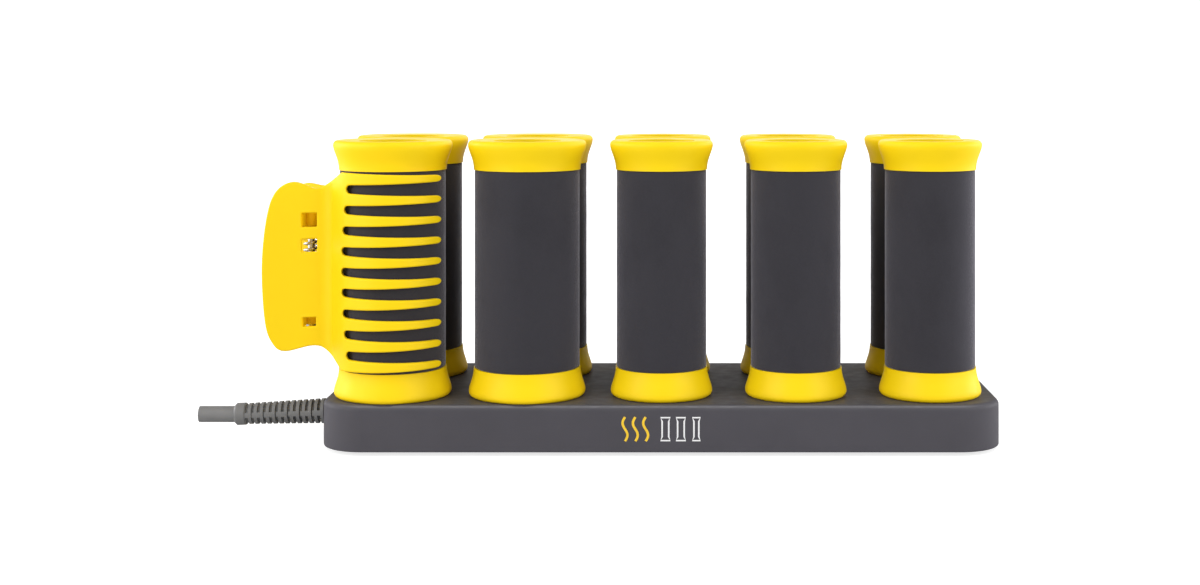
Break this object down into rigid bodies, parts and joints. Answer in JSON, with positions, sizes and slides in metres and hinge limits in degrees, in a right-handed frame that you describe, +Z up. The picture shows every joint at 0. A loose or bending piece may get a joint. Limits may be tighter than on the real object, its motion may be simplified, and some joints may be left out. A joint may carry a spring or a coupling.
{
  "type": "heated roller set",
  "caption": "Heated hair roller set: flocked rollers with flared end caps stand in rows on the heating posts of a low corded base, and a claw clip grips a corner roller.",
  "frame": {"origin": "on the table, at the middle of the base and of its middle foot", "axes": "+X to the right along the rows as seen from the front, +Y to the back, +Z up"},
  "size_m": [0.2912, 0.0911, 0.1099],
  "materials": {
    "yellow_plastic": "satin moulded, heat-resistant",
    "flocked_sleeve": "short dense flock",
    "aluminium_extrusion": "plain extruded",
    "aluminium_post": "anodised",
    "aluminium_sheet": "rolled",
    "case_plastic": "fine satin texture",
    "cover_plastic": "fine texture",
    "collar_plastic": "glass-filled",
    "terminal_plastic": "moulded",
    "wire_insulation": "braided glass-fibre sleeve",
    "heater_body": "ceramic",
    "steel": "plated",
    "foot_rubber": "matt",
    "cord_rubber": "satin",
    "switch_black": "satin"
  },
  "bodies": {
    "base": {"base_upper_shell": "case_plastic", "base_bottom_cover": "cover_plastic", "rubber_feet": "foot_rubber", "case_screws": "steel", "heating_posts": "aluminium_post", "post_heaters": "heater_body", "post_collars": "collar_plastic", "heat_shield": "aluminium_sheet", "wiring_harness": "wire_insulation", "thermal_cutout": "heater_body", "terminal_block": "terminal_plastic", "cord_clamp": "collar_plastic", "strain_relief": "cord_rubber", "power_cord": "cord_rubber", "power_switch_frame": "switch_black"},
    "roller_front_1": {"roller_front_1_core": "aluminium_extrusion", "roller_front_1_sleeve": "flocked_sleeve", "roller_front_1_top_cap": "yellow_plastic", "roller_front_1_bottom_cap": "yellow_plastic", "clip_rear_jaw": "yellow_plastic", "clip_hinge_pin": "steel", "clip_spring": "steel"},
    "roller_front_2": {"roller_front_2_core": "aluminium_extrusion", "roller_front_2_sleeve": "flocked_sleeve", "roller_front_2_top_cap": "yellow_plastic", "roller_front_2_bottom_cap": "yellow_plastic"},
    "roller_front_3": {"roller_front_3_core": "aluminium_extrusion", "roller_front_3_sleeve": "flocked_sleeve", "roller_front_3_top_cap": "yellow_plastic", "roller_front_3_bottom_cap": "yellow_plastic"},
    "roller_front_4": {"roller_front_4_core": "aluminium_extrusion", "roller_front_4_sleeve": "flocked_sleeve", "roller_front_4_top_cap": "yellow_plastic", "roller_front_4_bottom_cap": "yellow_plastic"},
    "roller_front_5": {"roller_front_5_core": "aluminium_extrusion", "roller_front_5_sleeve": "flocked_sleeve", "roller_front_5_top_cap": "yellow_plastic", "roller_front_5_bottom_cap": "yellow_plastic"},
    "roller_rear_1": {"roller_rear_1_core": "aluminium_extrusion", "roller_rear_1_sleeve": "flocked_sleeve", "roller_rear_1_top_cap": "yellow_plastic", "roller_rear_1_bottom_cap": "yellow_plastic"},
    "roller_rear_2": {"roller_rear_2_core": "aluminium_extrusion", "roller_rear_2_sleeve": "flocked_sleeve", "roller_rear_2_top_cap": "yellow_plastic", "roller_rear_2_bottom_cap": "yellow_plastic"},
    "roller_rear_3": {"roller_rear_3_core": "aluminium_extrusion", "roller_rear_3_sleeve": "flocked_sleeve", "roller_rear_3_top_cap": "yellow_plastic", "roller_rear_3_bottom_cap": "yellow_plastic"},
    "roller_rear_4": {"roller_rear_4_core": "aluminium_extrusion", "roller_rear_4_sleeve": "flocked_sleeve", "roller_rear_4_top_cap": "yellow_plastic", "roller_rear_4_bottom_cap": "yellow_plastic"},
    "roller_rear_5": {"roller_rear_5_core": "aluminium_extrusion", "roller_rear_5_sleeve": "flocked_sleeve", "roller_rear_5_top_cap": "yellow_plastic", "roller_rear_5_bottom_cap": "yellow_plastic"},
    "clip_front": {"clip_front_jaw": "yellow_plastic"},
    "switch_rocker": {"power_switch_rocker": "switch_black"}
  },
  "joints": [
    {"name": "roller_front_1_lift", "type": "slide", "parent": "base", "child": "roller_front_1", "axis": [0, 0, 1], "range_m": [0, 0.085]},
    {"name": "roller_front_2_lift", "type": "slide", "parent": "base", "child": "roller_front_2", "axis": [0, 0, 1], "range_m": [0, 0.085]},
    {"name": "roller_front_3_lift", "type": "slide", "parent": "base", "child": "roller_front_3", "axis": [0, 0, 1], "range_m": [0, 0.085]},
    {"name": "roller_front_4_lift", "type": "slide", "parent": "base", "child": "roller_front_4", "axis": [0, 0, 1], "range_m": [0, 0.085]},
    {"name": "roller_front_5_lift", "type": "slide", "parent": "base", "child": "roller_front_5", "axis": [0, 0, 1], "range_m": [0, 0.085]},
    {"name": "roller_rear_1_lift", "type": "slide", "parent": "base", "child": "roller_rear_1", "axis": [0, 0, 1], "range_m": [0, 0.085]},
    {"name": "roller_rear_2_lift", "type": "slide", "parent": "base", "child": "roller_rear_2", "axis": [0, 0, 1], "range_m": [0, 0.085]},
    {"name": "roller_rear_3_lift", "type": "slide", "parent": "base", "child": "roller_rear_3", "axis": [0, 0, 1], "range_m": [0, 0.085]},
    {"name": "roller_rear_4_lift", "type": "slide", "parent": "base", "child": "roller_rear_4", "axis": [0, 0, 1], "range_m": [0, 0.085]},
    {"name": "roller_rear_5_lift", "type": "slide", "parent": "base", "child": "roller_rear_5", "axis": [0, 0, 1], "range_m": [0, 0.085]},
    {"name": "clip_open", "type": "hinge", "parent": "roller_front_1", "child": "clip_front", "pos_m": [-0.1265, -0.023, 0.0638], "axis": [0, 0, -1], "range_deg": [0, 40], "deforming": ["clip_spring"]},
    {"name": "switch_press", "type": "hinge", "parent": "base", "child": "switch_rocker", "pos_m": [0.02425, 0.0415, 0.00975], "axis": [0, 0, 1], "range_deg": [0, 14]}
  ]
}
